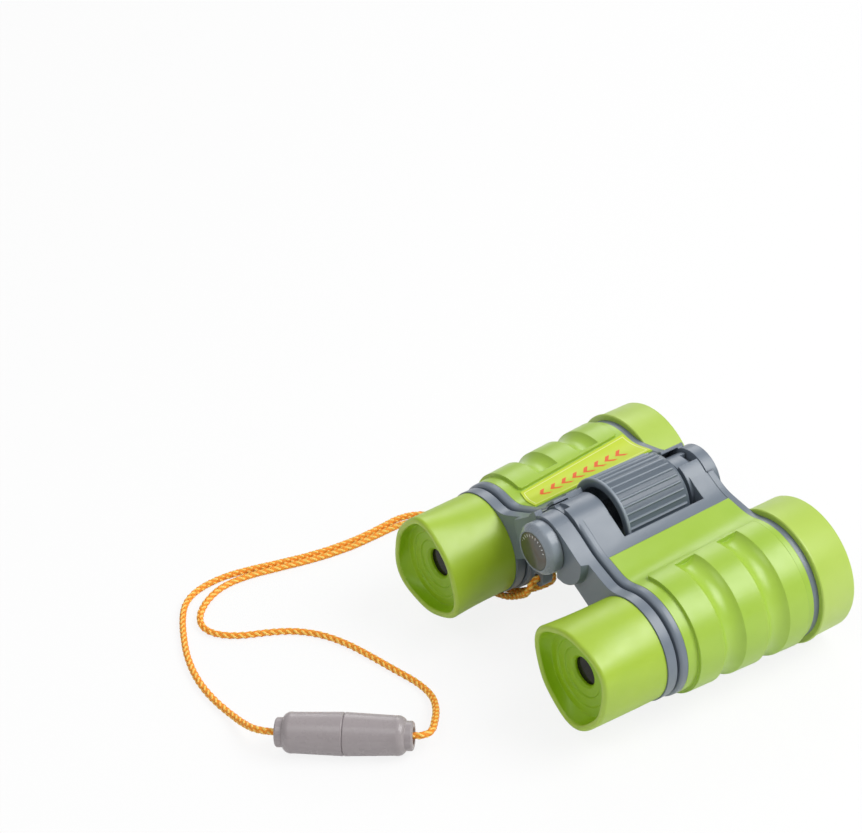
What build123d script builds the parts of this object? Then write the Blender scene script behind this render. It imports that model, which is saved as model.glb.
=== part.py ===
"""Children's folding binoculars with a centre focus wheel and a breakaway neck cord.

Frame: X across the pair (the right barrel is at +X), Y along the optical axes with the
objectives at +Y, Z up from the surface that the pair stands on. Millimetres. The origin
is at the middle of the pair's footprint.
"""
from build123d import *
import math
import os

os.makedirs("parts", exist_ok=True)

# ---- driving dimensions -------------------------------------------------------------
overall_length = 85.7        # eyecup mouth to hood front
barrel_spacing = 66.9        # between the two optical axes
body_length = 47.8           # one barrel shell, front flange to rear face
hinge_rise = 17.5            # hinge axis above the optical axes

hood_step = 1.2              # the hood stands out this far from the armour
hood_lip = 0.4               # how far the hood's back lip stands out
hood_length = 12.4
hood_wall = 2.9
spigot_length = 5.0

front_barrel_radius = 16.4   # armour surface at the eyepiece end
rear_barrel_radius = 18.8    # armour surface at the objective end
armour_thickness = 1.15
armour_gap = 0.05            # between the armour and the shell under it
panel_rise = 1.0             # raised grip panel above the armour
panel_inner_front = 5.2      # the panel starts this far inside of the optical axis
panel_inner_rear = 3.5
groove_width = 7.4           # finger grooves in the grip panel
groove_depth = 1.5
window_frame = 3.5           # width of the shell between the window and the armour
shelf_step = 0.35            # the shell beside the armour lies this much lower
flange_front = 2.3           # bead at the shell's eyepiece end
flange_rear = 2.0            # rim at the shell's objective end

spigot_wall = 1.9            # the shell's rear spigot carries the hood and holds the lens
lens_edge = 2.6              # thickness of the objective at its edge
lens_bulge = 0.8
ring_height = 1.6            # retaining ring of the objective
ring_wall = 1.1

tube_wall = 1.5
tube_reach = 11.0            # how far the tube goes into the shell, focused in
guide_length = 9.0           # bore in the shell that the tube slides in
collar_step = 0.55           # the bridge arm's collar is this much smaller than the armour
arm_thickness = 3.1
hub_thickness = 5.3          # bridge arms at the hinge
lobe_radius = 9.4            # the thick lobe of an arm round the hinge
lobe_taper = 14.0            # slope of its side, in degrees
lobe_room = 3.2              # from the lobe to the eyecup
arm_gap = 0.9                # between the bridge arms and the shells, fully focused in
focus_travel = 6.0
cup_step = 0.55              # the cup's base is this much smaller than the collar
cup_base_wall = 4.3          # between the tube and the cup's outside
cup_wall = 2.0               # at the mouth
mouth_flare = 0.1            # the mouth's mean radius over the cup's
mouth_corner = 1.05          # how far its corners stand out and its sides lie in
mouth_round = 1.0            # rounding of the mouth outside
mouth_round_inner = 0.7      # and inside
bowl_depth = 3.7
bowl_step = 0.5              # each ring of the bowl's floor lies this much deeper
floor_depth = 6.2            # back of the bowl's floor, from the mouth
bowl_rings = (0.81, 0.66, 0.49, 0.275)  # radii, as shares of the mouth's radius
pupil_chamfer = 0.7
eye_lens_thickness = 3.0
right_cup_turn = 32.0        # the push-fit cups sit at different turns
left_cup_turn = 92.0

wheel_radius = 12.4          # smooth flange of the focus wheel
wheel_rib_step = 0.1         # the ribbed part is this much smaller than the flange
wheel_taper = 0.25           # and loses this much more towards the objective end
wheel_length = 23.2
wheel_flange = 0.9
wheel_collar = 1.2           # smooth stretch behind the ribs
wheel_rim = 2.8              # wall round the hollow in the wheel's front
wheel_recess_depth = 5.6
wheel_ribs = 34
rib_width = 0.55
rib_depth = 0.6
wheel_gap = 0.7              # round the wheel in its window
wheel_lead = 2.3             # window left open in front of the wheel
wheel_end_gap = 3.3          # and behind it
window_place = 10.8          # from the shell's front to the window

spindle_radius = 3.0
sleeve_radius = 4.6
sleeve_bore = 3.3
spindle_end = 15.0           # how far the spindle goes into the wheel
knuckle_room = 0.4           # the knuckles are this much smaller than the wheel's hollow
leaf_thickness = 2.0         # an inner knuckle is this much smaller than its leaf
hub_top = 8.2                # the web at the hinge: above the hinge axis
hub_bottom = 9.6             # and below it
web_top = 4.8
web_bottom = 10.1
web_start = 4.0              # how near the webs come to the hinge plane
knuckle_ring = 5.2           # length of the shell's front knuckle ring
pin_radius = 2.0
pin_head = 3.6
end_plate_inset = 2.4        # the rear knuckle ends this far inside of the shell
end_plate = 3.8              # left shell's knuckle behind the right one
cap_length = 4.6
cap_step = 0.9               # the cap is this much smaller than the arms' hub
cap_chamfer = 1.5
disc_rim = 1.9
label_thickness = 0.35
label_margin = 0.3           # left bare round the label
disc_thickness = 0.8
running = 0.06               # radial clearance of a shaft in its bore
play = 0.3                   # gap between faces that pass each other
leaf_low = -60.0             # the leaves' span round the hinge, in degrees from +X
leaf_high = 121.5
rear_leaf_high = 68.0        # the same at the objective end
rear_leaf_step = 1.1         # the rear knuckle is this much smaller beside its leaf
stop_angle = 124.0           # the left side's stop, which a leaf meets when fully open
root_angle = 245.0           # and where the left side's knuckles end

cord_diameter = 2.1
clasp_length = 38.0
clasp_radius = 6.0
clasp_tail = 4.1             # radius of the ends that the cord goes into
clasp_mouth = 2.5            # radius of the hollow that the cord goes into
clasp_hole_depth = 2.5
tongue_radius = 3.0
tongue_length = 7.0
clasp_end_a = (-14.4, -107.4)
clasp_turn = 47.55           # heading of the clasp on the table, degrees from +X
lug_hole_radius = 1.35
lug_drop = 4.2               # the cord's hole below the optical axes
lug_radius = 2.6
lug_thickness = 3.4

# ---- places worked out from them ----------------------------------------------------
half_spacing = barrel_spacing / 2
hood_radius = rear_barrel_radius + hood_step
spigot_radius = hood_radius - hood_wall - 0.2
lens_radius = spigot_radius - spigot_wall
collar_radius = front_barrel_radius - collar_step
cup_radius = collar_radius - cup_step
tube_radius = cup_radius - cup_base_wall
mouth_radius = cup_radius + mouth_flare  # mean radius of the three-cornered mouth
wheel_rib_radius = wheel_radius - wheel_rib_step
wheel_end_radius = wheel_rib_radius - wheel_taper
wheel_recess = wheel_radius - wheel_rim
knuckle_radius = wheel_recess - knuckle_room
knuckle_core = knuckle_radius - leaf_thickness
hub_radius = knuckle_radius - 0.6      # bridge arms at the hinge
hub_core = hub_radius - leaf_thickness
cap_radius = hub_radius - cap_step
disc_radius = cap_radius - disc_rim
lip_radius = hood_radius + hood_lip
axis_z = lip_radius                       # the pair stands on its hood lips
hinge_z = axis_z + hinge_rise

hood_front = overall_length / 2
hood_back = hood_front - hood_length
shell_rear = hood_back
shell_front = shell_rear - body_length
armour_front = shell_front + flange_front + armour_gap
armour_rear = shell_rear - flange_rear - armour_gap
panel_front = armour_front + 3.5
panel_rear = armour_rear - 2.5
groove_places = (
    panel_front + 0.31 * (panel_rear - panel_front),
    panel_front + 0.715 * (panel_rear - panel_front),
)
arm_back = shell_front - arm_gap
arm_front = arm_back - arm_thickness
hub_front = arm_back - hub_thickness
hub_split = hub_front + hub_thickness / 2
lobe_place = half_spacing - cup_radius - lobe_room - lobe_radius
mouth_y = -overall_length / 2
cup_base = arm_front
floor_back = mouth_y + floor_depth
lens_back = shell_rear + 0.7
cap_rear = hub_front - play
lug_y = shell_front + play + lug_thickness / 2

window_front = shell_front + window_place
wheel_front = window_front + wheel_lead
wheel_rear = wheel_front + wheel_length
window_rear = wheel_rear + wheel_end_gap
window_half = wheel_radius + wheel_gap
shelf_edge = window_half + window_frame
lug_x = min(
    shelf_edge - lug_radius - 0.1,
    half_spacing - front_barrel_radius - lug_radius - 0.5,
)
lug_place = (-lug_x, axis_z - lug_drop)
knuckle_end = window_front
rear_knuckle_front = window_rear - 1.0
rear_knuckle_end = shell_rear - end_plate_inset
plate_front = rear_knuckle_end + play
plate_rear = plate_front + end_plate
ring_end = shell_front + knuckle_ring


def cross(y):
    """Plane across the pair at y: sketch axes are world X and Z, the normal is -Y."""
    return Plane(origin=(0, y, 0), x_dir=(1, 0, 0), z_dir=(0, -1, 0))


def hinge_plane(y):
    """The same plane, with its origin on the hinge axis."""
    return Plane(origin=(0, y, hinge_z), x_dir=(1, 0, 0), z_dir=(0, -1, 0))


def barrel_plane(y):
    """The same plane, with its origin on the right optical axis."""
    return Plane(origin=(half_spacing, y, axis_z), x_dir=(1, 0, 0), z_dir=(0, -1, 0))


def along(share, front, rear):
    return front + (rear - front) * share


def outline(y, inset):
    """Sketch of the right barrel with its web to the hinge, drawn in from its surface."""
    share = (y - armour_front) / (armour_rear - armour_front)
    radius = along(share, front_barrel_radius, rear_barrel_radius) - inset
    crest_in = 0.245 * radius
    crest_up = math.sqrt(radius**2 - crest_in**2)
    crest_x = half_spacing - crest_in
    hub_crest = hinge_z + web_top - inset
    valley = axis_z + along(share, 0.933, 0.944) * (radius + inset) - inset
    shoulder = valley + along(share, 0.53, 0.42) * (hub_crest - valley)
    crest = (crest_x, axis_z + crest_up)
    side = (half_spacing + 0.7071 * radius, axis_z - 0.7071 * radius)
    under = (half_spacing - math.sqrt(radius**2 - 4.0), axis_z + 2.0)
    with BuildSketch(cross(y)) as drawn:
        with BuildLine():
            top = Spline(
                (web_start, hinge_z + hub_top - inset),
                (along(0.22, web_start, crest_x), hub_crest),
                (along(0.417, web_start, crest_x), shoulder),
                (along(0.613, web_start, crest_x), along(0.42, valley, shoulder)),
                (along(0.794, web_start, crest_x), valley),
                crest,
                tangents=((1.0, -0.48), (crest_up, crest_in)),
            )
            ThreePointArc(crest, side, under)
            Polyline(
                under,
                (2.1 * web_start, hinge_z - web_bottom + inset),
                (web_start, hinge_z - hub_bottom + inset),
                top @ 0,
            )
        make_face()
    return drawn.sketch


def skin(y_front, y_rear, inset, mode=Mode.ADD):
    """Solid of the barrel and web between two stations."""
    loft([outline(y_front, inset), outline(y_rear, inset)], ruled=True, mode=mode)


def rod(plane, radius, length, mode=Mode.ADD):
    """Round bar that runs from the plane towards +Y."""
    with BuildSketch(plane) as drawn:
        Circle(radius)
    extrude(drawn.sketch, amount=-length, mode=mode)


def sector(plane, inner, outer, start, end, length, mode=Mode.ADD):
    """Part of a tube, from the plane towards +Y, between two angles."""
    with BuildSketch(plane) as drawn:
        with BuildLine():
            low = CenterArc((0, 0), inner, start, end - start)
            high = CenterArc((0, 0), outer, start, end - start)
            Line(low @ 0, high @ 0)
            Line(low @ 1, high @ 1)
        make_face()
    extrude(drawn.sketch, amount=-length, mode=mode)


def turned(points, x, z, mode=Mode.ADD):
    """Solid turned about the axis along Y through x, z, from points of radius and y."""
    with BuildSketch(Plane(origin=(x, 0, z), x_dir=(1, 0, 0), z_dir=(0, 0, 1))) as drawn:
        with BuildLine():
            Polyline(*points, close=True)
        make_face()
    revolve(drawn.sketch, axis=Axis((x, 0, z), (0, 1, 0)), mode=mode)


def three_cornered(y, radius, corner, turn):
    """Sketch of a cup's section at y, round the right optical axis."""
    spots = []
    for step in range(36):
        angle = math.radians(10 * step)
        wave = 3 * (angle - math.radians(turn))
        reach = radius + corner * (math.cos(wave) + 0.27 * math.cos(2 * wave))
        spots.append((reach * math.cos(angle), reach * math.sin(angle)))
    with BuildSketch(barrel_plane(y)) as drawn:
        with BuildLine():
            Spline(*spots, periodic=True)
        make_face()
    return drawn.sketch


def ribbed(y, radius):
    """Sketch of the wheel's ribbed section."""
    spots = []
    for rib in range(wheel_ribs):
        middle = 2 * math.pi * rib / wheel_ribs
        top = rib_width / 2 / radius
        root = top + 0.012
        for angle, reach in (
            (middle - root, radius - rib_depth),
            (middle - top, radius),
            (middle + top, radius),
            (middle + root, radius - rib_depth),
        ):
            spots.append((reach * math.cos(angle), reach * math.sin(angle)))
    with BuildSketch(hinge_plane(y)) as drawn:
        with BuildLine():
            Polyline(*spots, close=True)
        make_face()
    return drawn.sketch


def cord_radii(points):
    """Radius of each corner of a cord: as large as its two runs allow."""
    radii = []
    for before, corner, after in zip(points, points[1:], points[2:]):
        arrive = Vector(*corner) - Vector(*before)
        leave = Vector(*after) - Vector(*corner)
        turn = math.radians(arrive.get_angle(leave))
        radii.append(0.45 * min(arrive.length, leave.length) / math.tan(turn / 2))
    return radii


def on_clasp(distance):
    """Point on the clasp's axis at a distance from its first end."""
    heading = math.radians(clasp_turn)
    return (
        clasp_end_a[0] + distance * math.cos(heading),
        clasp_end_a[1] + distance * math.sin(heading),
        clasp_radius,
    )


# ---- forms shared by the two barrels ------------------------------------------------
with BuildPart() as shelf_form:
    skin(shell_front + 0.5, armour_rear, shelf_step)
    split(bisect_by=Plane.YZ.offset(shelf_edge - armour_gap), keep=Keep.BOTTOM)

with BuildPart() as barrel_bore:
    turned(
        (
            (0, shell_front - 1),
            (tube_radius + running, shell_front - 1),
            (tube_radius + running, shell_front + guide_length),
            (tube_radius + 1.4, shell_front + guide_length + 0.8),
            (lens_radius - 1.0, lens_back - 1.5),
            (lens_radius - 1.0, lens_back),
            (lens_radius + running, lens_back),
            (lens_radius + running, shell_rear + spigot_length + 1),
            (0, shell_rear + spigot_length + 1),
        ),
        half_spacing,
        axis_z,
    )

with BuildPart() as shell_form:
    skin(shell_front + 0.5, armour_rear + 0.6, armour_thickness + armour_gap)
    add(shelf_form.part)
    skin(shell_front, shell_front + flange_front, 0.0)
    fillet(faces().sort_by(Axis.Y)[0].outer_wire().edges(), 1.0)
    skin(armour_rear + armour_gap, shell_rear, 0.25)
    rod(barrel_plane(shell_rear - 1), spigot_radius, spigot_length + 1)
    add(barrel_bore.part, mode=Mode.SUBTRACT)
    with BuildSketch(cross(window_rear)):
        with Locations((0, hinge_z)):
            Rectangle(2 * window_half, 60)
    extrude(amount=window_rear - window_front, mode=Mode.SUBTRACT)

with BuildPart() as arm_form:
    extrude(outline(arm_back, front_barrel_radius - collar_radius), amount=hub_thickness)
    with BuildSketch(cross(hub_front)):
        with Locations((lobe_place, hinge_z)):
            Circle(lobe_radius)
    extrude(amount=-hub_thickness, taper=-lobe_taper, mode=Mode.INTERSECT)
    extrude(outline(arm_back, front_barrel_radius - collar_radius), amount=arm_thickness)
    rod(barrel_plane(hub_front - 1), tube_radius, hub_thickness + 2, Mode.SUBTRACT)

# ---- right barrel -------------------------------------------------------------------
with BuildPart() as right_body_shell:
    add(shell_form.part)
    rod(hinge_plane(shell_front), knuckle_radius, knuckle_ring)
    rod(hinge_plane(ring_end), knuckle_core + play, knuckle_end - ring_end + 1, Mode.SUBTRACT)
    sector(
        hinge_plane(ring_end),
        knuckle_core + play,
        knuckle_radius,
        leaf_low,
        leaf_high,
        knuckle_end - ring_end,
    )
    rod(hinge_plane(shell_front - 1), sleeve_radius + running, knuckle_ring + 2, Mode.SUBTRACT)
    rod(hinge_plane(rear_knuckle_end), knuckle_radius + play, end_plate_inset + 1, Mode.SUBTRACT)
    rod(
        hinge_plane(rear_knuckle_front),
        knuckle_radius - rear_leaf_step,
        rear_knuckle_end - rear_knuckle_front,
    )
    sector(
        hinge_plane(rear_knuckle_front),
        knuckle_core - 0.5,
        knuckle_radius,
        leaf_low,
        rear_leaf_high,
        rear_knuckle_end - rear_knuckle_front,
    )
    rod(
        hinge_plane(rear_knuckle_front - 1),
        pin_radius + running,
        shell_rear - rear_knuckle_front + 2,
        Mode.SUBTRACT,
    )
    for notch_x, notch_y, notch_depth in (
        (-2.0, shell_front + 2.0, 1.5),
        (0.6, rear_knuckle_end, 3.0),
    ):
        with BuildSketch(cross(notch_y)):
            with Locations((notch_x, hinge_z + knuckle_radius)):
                Rectangle(4.4, 2 * notch_depth)
        extrude(amount=2.2, mode=Mode.SUBTRACT)
right_body_shell.part.label = "right_body_shell"
export_step(right_body_shell.part, "parts/right_body_shell.step")

with BuildPart() as armour_skin:
    skin(armour_front, armour_rear, 0.0)

with BuildPart() as panel_skin:
    skin(armour_front, armour_rear, -panel_rise)
    with BuildSketch(Plane.XY):
        with BuildLine():
            Polyline(
                (half_spacing - panel_inner_front, panel_front),
                (half_spacing - panel_inner_rear, panel_rear),
                (half_spacing + 30, panel_rear),
                (half_spacing + 30, panel_front),
                close=True,
            )
        make_face()
        fillet(vertices(), 1.2)
    extrude(amount=100, both=True, mode=Mode.INTERSECT)

with BuildPart() as groove_form:
    for groove_y in groove_places:
        groove_share = (groove_y - armour_front) / (armour_rear - armour_front)
        groove_surface = along(groove_share, front_barrel_radius, rear_barrel_radius) + panel_rise
        groove_arc = (groove_width**2 / 4 + groove_depth**2) / 2 / groove_depth
        with BuildSketch(Plane(origin=(half_spacing, groove_y, axis_z), z_dir=(0, 0, 1))):
            with Locations((groove_surface + groove_arc - groove_depth, 0)):
                Circle(groove_arc)
        revolve(axis=Axis((half_spacing, 0, axis_z), (0, 1, 0)))
    split(bisect_by=Plane.YZ.offset(half_spacing - panel_inner_rear + 0.4), keep=Keep.TOP)

with BuildPart() as right_armour:
    add(armour_skin.part)
    add(panel_skin.part)
    skin(armour_front, armour_rear, armour_thickness, Mode.SUBTRACT)
    split(bisect_by=Plane.YZ.offset(shelf_edge), keep=Keep.TOP)
    add(groove_form.part, mode=Mode.SUBTRACT)
right_armour.part.label = "right_armour"
export_step(right_armour.part, "parts/right_armour.step")

with BuildPart() as right_objective_hood:
    turned(
        (
            (spigot_radius, hood_back),
            (lip_radius - 0.3, hood_back),
            (lip_radius, hood_back + 0.3),
            (lip_radius, hood_back + 0.8),
            (hood_radius, hood_back + 1.8),
            (hood_radius, hood_front - 0.7),
            (hood_radius - 0.25, hood_front - 0.2),
            (hood_radius - 0.7, hood_front),
            (hood_radius - hood_wall + 0.5, hood_front),
            (hood_radius - hood_wall, hood_front - 0.5),
            (spigot_radius, shell_rear + spigot_length + 0.2),
        ),
        half_spacing,
        axis_z,
    )
right_objective_hood.part.label = "right_objective_hood"
export_step(right_objective_hood.part, "parts/right_objective_hood.step")

with BuildPart() as right_objective_lens:
    with BuildSketch(Plane(origin=(half_spacing, 0, axis_z), z_dir=(0, 0, 1))):
        with BuildLine():
            Polyline(
                (0, lens_back + lens_edge + lens_bulge),
                (0, lens_back),
                (lens_radius, lens_back),
                (lens_radius, lens_back + lens_edge),
            )
            RadiusArc(
                (lens_radius, lens_back + lens_edge),
                (0, lens_back + lens_edge + lens_bulge),
                -(lens_radius**2 + lens_bulge**2) / 2 / lens_bulge,
            )
        make_face()
    revolve(axis=Axis((half_spacing, 0, axis_z), (0, 1, 0)))
right_objective_lens.part.label = "right_objective_lens"
export_step(right_objective_lens.part, "parts/right_objective_lens.step")

with BuildPart() as right_lens_retainer:
    turned(
        (
            (lens_radius - ring_wall, lens_back + lens_edge + 0.12),
            (lens_radius, lens_back + lens_edge),
            (lens_radius, lens_back + lens_edge + ring_height),
            (lens_radius - ring_wall, lens_back + lens_edge + ring_height - 0.5),
        ),
        half_spacing,
        axis_z,
    )
right_lens_retainer.part.label = "right_lens_retainer"
export_step(right_lens_retainer.part, "parts/right_lens_retainer.step")

# ---- right eyepiece -----------------------------------------------------------------
with BuildPart() as right_bridge_arm:
    add(arm_form.part)
    rod(hinge_plane(hub_split + play / 2), hub_radius, arm_back - hub_split - play / 2)
    rod(hinge_plane(hub_front - 1), hub_core + play, hub_split + play / 2 - hub_front + 1, Mode.SUBTRACT)
    sector(
        hinge_plane(hub_front),
        hub_core + play,
        hub_radius,
        leaf_low,
        leaf_high,
        hub_split - hub_front + play,
    )
    rod(hinge_plane(hub_front - 1), spindle_radius + running, hub_thickness + 2, Mode.SUBTRACT)
right_bridge_arm.part.label = "right_bridge_arm"
export_step(right_bridge_arm.part, "parts/right_bridge_arm.step")

with BuildPart() as right_eyepiece_tube:
    rod(barrel_plane(floor_back), tube_radius, shell_front + tube_reach - floor_back)
    rod(barrel_plane(floor_back), tube_radius - tube_wall, 50, Mode.SUBTRACT)
right_eyepiece_tube.part.label = "right_eyepiece_tube"
export_step(right_eyepiece_tube.part, "parts/right_eyepiece_tube.step")

with BuildPart() as right_ocular_lens:
    rod(barrel_plane(floor_back), tube_radius - tube_wall - 0.05, eye_lens_thickness)
right_ocular_lens.part.label = "right_ocular_lens"
export_step(right_ocular_lens.part, "parts/right_ocular_lens.step")

with BuildPart() as cup_inside:
    bowl_floor = mouth_y + bowl_depth
    ring_radii = [share * mouth_radius for share in bowl_rings]
    turned(
        (
            (0, bowl_floor - 1),
            (ring_radii[0] - 0.3, bowl_floor - 1),
            (ring_radii[0] - 0.3, bowl_floor),
            (ring_radii[1], bowl_floor),
            (ring_radii[1] - 0.3, bowl_floor + bowl_step),
            (ring_radii[2], bowl_floor + bowl_step),
            (ring_radii[2] - 0.3, bowl_floor + 2 * bowl_step),
            (ring_radii[3] + pupil_chamfer, bowl_floor + 2 * bowl_step),
            (ring_radii[3], bowl_floor + 2 * bowl_step + pupil_chamfer),
            (ring_radii[3], floor_back),
            (tube_radius, floor_back),
            (tube_radius, cup_base + 1),
            (0, cup_base + 1),
        ),
        half_spacing,
        axis_z,
    )


def cup(turn):
    """Rubber eyecup with its three corners at this turn."""
    middle = mouth_y + 0.45 * (cup_base - mouth_y)
    loft(
        [
            three_cornered(cup_base, cup_radius, 0.0, turn),
            three_cornered(middle, cup_radius, 0.35 * mouth_corner, turn),
            three_cornered(mouth_y, mouth_radius, mouth_corner, turn),
        ]
    )
    fillet(faces().sort_by(Axis.Y)[0].edges(), mouth_round)
    loft(
        [
            three_cornered(mouth_y, mouth_radius - cup_wall, mouth_corner, turn),
            three_cornered(
                mouth_y + 0.5 * bowl_depth, mouth_radius - cup_wall - 0.2, 0.6 * mouth_corner, turn
            ),
            three_cornered(mouth_y + bowl_depth, ring_radii[0], 0.0, turn),
        ],
        mode=Mode.SUBTRACT,
    )
    fillet(faces().sort_by(Axis.Y)[0].edges().sort_by(SortBy.LENGTH)[0], mouth_round_inner)
    add(cup_inside.part, mode=Mode.SUBTRACT)


with BuildPart() as right_eyecup:
    cup(right_cup_turn)
right_eyecup.part.label = "right_eyecup"
export_step(right_eyecup.part, "parts/right_eyecup.step")

# ---- left barrel, which the wheel, the pins and the cord are on ---------------------
with BuildPart() as left_body_shell:
    mirror(shell_form.part, about=Plane.YZ)
    rod(
        hinge_plane(shell_front - 1),
        knuckle_radius + play,
        knuckle_end - shell_front + 2,
        Mode.SUBTRACT,
    )
    rod(hinge_plane(ring_end + play), knuckle_core, knuckle_end - ring_end - play)
    sector(
        hinge_plane(ring_end + play),
        knuckle_core - 0.5,
        knuckle_radius + 1.5,
        stop_angle,
        root_angle,
        knuckle_end - ring_end - play,
    )
    sector(
        hinge_plane(shell_front + 0.7),
        knuckle_radius + play,
        knuckle_radius + 1.2,
        stop_angle,
        root_angle - 30,
        ring_end - shell_front,
    )
    rod(
        hinge_plane(rear_knuckle_front - 1),
        knuckle_radius + play,
        shell_rear + play + 1 - rear_knuckle_front,
        Mode.SUBTRACT,
    )
    sector(
        hinge_plane(window_rear),
        knuckle_radius + play,
        knuckle_radius + 1.2,
        stop_angle,
        root_angle - 30,
        plate_front - window_rear,
    )
    rod(hinge_plane(plate_front), knuckle_radius, end_plate)
    fillet(faces().sort_by(Axis.Y)[-1].edges().group_by(SortBy.RADIUS)[-1], 1.2)
    sector(
        hinge_plane(plate_front),
        knuckle_radius - 2,
        knuckle_radius + 1.2,
        stop_angle,
        root_angle - 30,
        shell_rear - plate_front,
    )
    rod(hinge_plane(ring_end), sleeve_radius, knuckle_end - ring_end + 1, Mode.SUBTRACT)
    rod(hinge_plane(plate_front - 1), pin_radius, end_plate + 2, Mode.SUBTRACT)
    with BuildSketch(cross(lug_y - lug_thickness / 2)):
        with Locations(lug_place):
            Circle(lug_radius)
        with Locations((lug_place[0], (lug_place[1] + hinge_z - 7) / 2)):
            Rectangle(2 * lug_radius, hinge_z - 7 - lug_place[1])
    extrude(amount=-lug_thickness)
    with BuildSketch(cross(lug_y - lug_thickness / 2)):
        with Locations(lug_place):
            Circle(lug_hole_radius)
    extrude(amount=-lug_thickness, mode=Mode.SUBTRACT)
left_body_shell.part.label = "left_body_shell"
export_step(left_body_shell.part, "parts/left_body_shell.step")

with BuildPart() as left_armour:
    mirror(right_armour.part, about=Plane.YZ)
left_armour.part.label = "left_armour"
export_step(left_armour.part, "parts/left_armour.step")

with BuildPart() as label_form:
    skin(armour_front, armour_rear, -label_thickness)
    add(armour_skin.part, mode=Mode.SUBTRACT)
    with BuildSketch(Plane.XY.offset(hinge_z - 8)):
        with BuildLine():
            Polyline(
                (shelf_edge + label_margin, armour_front + label_margin),
                (half_spacing - panel_inner_front - 0.6, armour_front + 3.3),
                (half_spacing - panel_inner_rear - 0.4, armour_rear - 0.6),
                (shelf_edge + label_margin, armour_rear - label_margin),
                close=True,
            )
        make_face()
    extrude(amount=60, mode=Mode.INTERSECT)

with BuildPart() as label_plate:
    mirror(label_form.part, about=Plane.YZ)
label_plate.part.label = "label_plate"
export_step(label_plate.part, "parts/label_plate.step")

with BuildPart() as left_objective_hood:
    mirror(right_objective_hood.part, about=Plane.YZ)
left_objective_hood.part.label = "left_objective_hood"
export_step(left_objective_hood.part, "parts/left_objective_hood.step")

with BuildPart() as left_objective_lens:
    mirror(right_objective_lens.part, about=Plane.YZ)
left_objective_lens.part.label = "left_objective_lens"
export_step(left_objective_lens.part, "parts/left_objective_lens.step")

with BuildPart() as left_lens_retainer:
    mirror(right_lens_retainer.part, about=Plane.YZ)
left_lens_retainer.part.label = "left_lens_retainer"
export_step(left_lens_retainer.part, "parts/left_lens_retainer.step")

with BuildPart() as hinge_sleeve:
    sleeve_length = wheel_front + wheel_recess_depth - play - shell_front
    rod(hinge_plane(shell_front), sleeve_radius, sleeve_length)
    rod(hinge_plane(shell_front), sleeve_bore, sleeve_length, Mode.SUBTRACT)
hinge_sleeve.part.label = "hinge_sleeve"
export_step(hinge_sleeve.part, "parts/hinge_sleeve.step")

with BuildPart() as rear_hinge_pin:
    pin_front = wheel_rear - 1.8
    rod(hinge_plane(pin_front), pin_radius, plate_rear - pin_front)
    rod(hinge_plane(plate_rear), pin_head, 0.8)
    fillet(faces().sort_by(Axis.Y)[-1].edges(), 0.5)
rear_hinge_pin.part.label = "rear_hinge_pin"
export_step(rear_hinge_pin.part, "parts/rear_hinge_pin.step")

# ---- focus wheel --------------------------------------------------------------------
with BuildPart() as focus_wheel:
    loft(
        [
            ribbed(wheel_front + wheel_flange, wheel_rib_radius),
            ribbed(wheel_rear - wheel_collar, wheel_end_radius),
        ],
        ruled=True,
    )
    rod(hinge_plane(wheel_rear - wheel_collar), wheel_end_radius - rib_depth, wheel_collar)
    fillet(faces().sort_by(Axis.Y)[-1].edges(), 0.7)
    rod(hinge_plane(wheel_front), wheel_radius, wheel_flange)
    fillet(faces().sort_by(Axis.Y)[0].edges(), 0.4)
    rod(hinge_plane(wheel_front), wheel_recess, wheel_recess_depth, Mode.SUBTRACT)
    rod(
        hinge_plane(wheel_front),
        spindle_radius + running,
        spindle_end + 0.5 - wheel_front,
        Mode.SUBTRACT,
    )
    rod(hinge_plane(pin_front - 0.3), pin_radius + running, 5, Mode.SUBTRACT)
focus_wheel.part.label = "focus_wheel"
export_step(focus_wheel.part, "parts/focus_wheel.step")

# ---- left eyepiece, which carries the spindle ---------------------------------------
with BuildPart() as left_bridge_arm:
    mirror(arm_form.part, about=Plane.YZ)
    rod(hinge_plane(hub_front - 1), hub_radius + play, hub_thickness + 2, Mode.SUBTRACT)
    rod(hinge_plane(cap_rear), hub_core, hub_split - play / 2 - cap_rear)
    sector(
        hinge_plane(hub_front),
        hub_core - 0.5,
        hub_radius + 1.2,
        stop_angle,
        root_angle,
        hub_split - play / 2 - hub_front,
    )
    rod(hinge_plane(cap_rear - 1), spindle_radius, hub_thickness + 2, Mode.SUBTRACT)
left_bridge_arm.part.label = "left_bridge_arm"
export_step(left_bridge_arm.part, "parts/left_bridge_arm.step")

with BuildPart() as left_eyepiece_tube:
    mirror(right_eyepiece_tube.part, about=Plane.YZ)
left_eyepiece_tube.part.label = "left_eyepiece_tube"
export_step(left_eyepiece_tube.part, "parts/left_eyepiece_tube.step")

with BuildPart() as left_ocular_lens:
    mirror(right_ocular_lens.part, about=Plane.YZ)
left_ocular_lens.part.label = "left_ocular_lens"
export_step(left_ocular_lens.part, "parts/left_ocular_lens.step")

with BuildPart() as left_cup_form:
    cup(180 - left_cup_turn)

with BuildPart() as left_eyecup:
    mirror(left_cup_form.part, about=Plane.YZ)
left_eyecup.part.label = "left_eyecup"
export_step(left_eyecup.part, "parts/left_eyecup.step")

with BuildPart() as focus_spindle:
    spindle_front = cap_rear - cap_length / 2
    rod(hinge_plane(spindle_front), spindle_radius, spindle_end - spindle_front)
focus_spindle.part.label = "focus_spindle"
export_step(focus_spindle.part, "parts/focus_spindle.step")

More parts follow.
